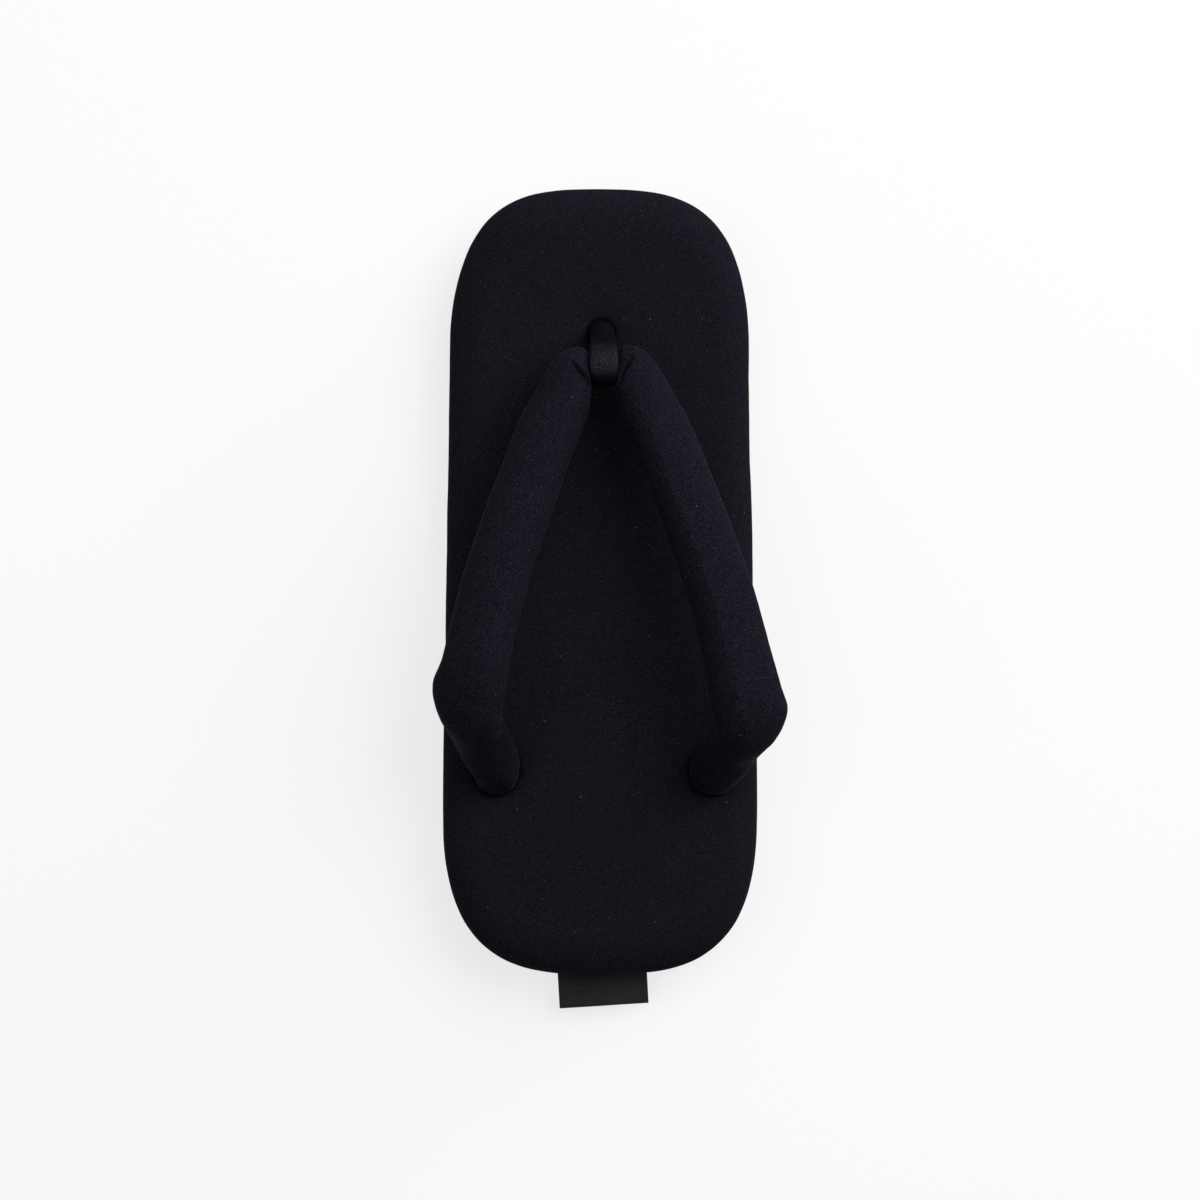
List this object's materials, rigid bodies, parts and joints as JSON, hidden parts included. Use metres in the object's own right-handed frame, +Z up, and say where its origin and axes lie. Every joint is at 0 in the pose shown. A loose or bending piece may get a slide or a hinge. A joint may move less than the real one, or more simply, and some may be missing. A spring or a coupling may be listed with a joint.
{
  "type": "setta sandal",
  "caption": "Flat slip-on setta sandal with a thick padded fabric footbed, a stuffed V-shaped strap held by a toe loop, a plain rubber outsole and a bare heel tab",
  "frame": {"origin": "on the floor, under the middle of the sandal's outer box", "axes": "+Y runs to the toe, +X to the right seen from above with the toe away, +Z up"},
  "size_m": [0.1108, 0.2678, 0.0783],
  "materials": {
    "outsole": "matte black rubber sponge with a fine grain",
    "footbed": "matte dark navy smooth knit over foam",
    "strap": "matte dark navy smooth knit, stuffed",
    "loop": "black short-nap rolled band with a soft grey sheen",
    "label": "charcoal woven satin ribbon, bare"
  },
  "bodies": {
    "root": {"outsole": "outsole", "footbed": "footbed", "hanao": "strap", "toe_loop": "loop", "heel_label": "label"}
  },
  "joints": []
}
